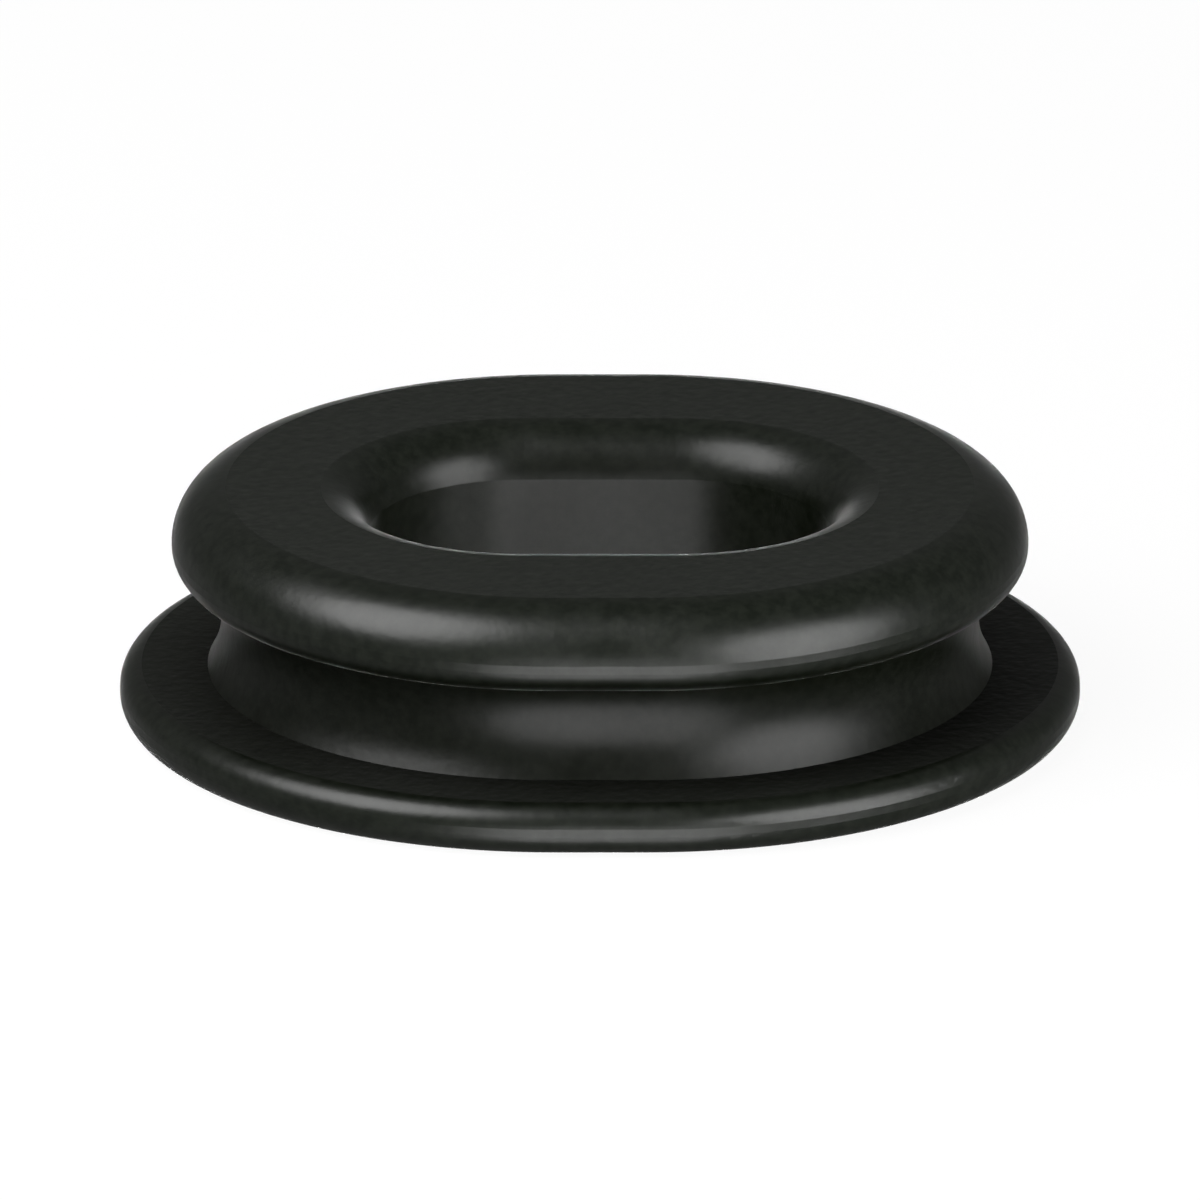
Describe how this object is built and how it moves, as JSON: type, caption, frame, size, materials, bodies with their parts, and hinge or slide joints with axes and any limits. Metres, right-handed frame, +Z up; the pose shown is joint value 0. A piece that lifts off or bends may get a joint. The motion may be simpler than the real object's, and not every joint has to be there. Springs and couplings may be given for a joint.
{
  "type": "rubber damper",
  "caption": "Obround rubber damper with a broad base flange, a smaller top flange, a groove between them for a panel's edge, and an obround hole with rounded mouths.",
  "frame": {"origin": "centre of the base, on the face it rests on", "axes": "+X along the long way of the obround, +Z up through the hole, from the broad flange to the small one"},
  "size_m": [0.04, 0.0362, 0.01],
  "materials": {
    "rubber": "moulded, satin"
  },
  "bodies": {
    "root": {"damper": "rubber"}
  },
  "joints": []
}
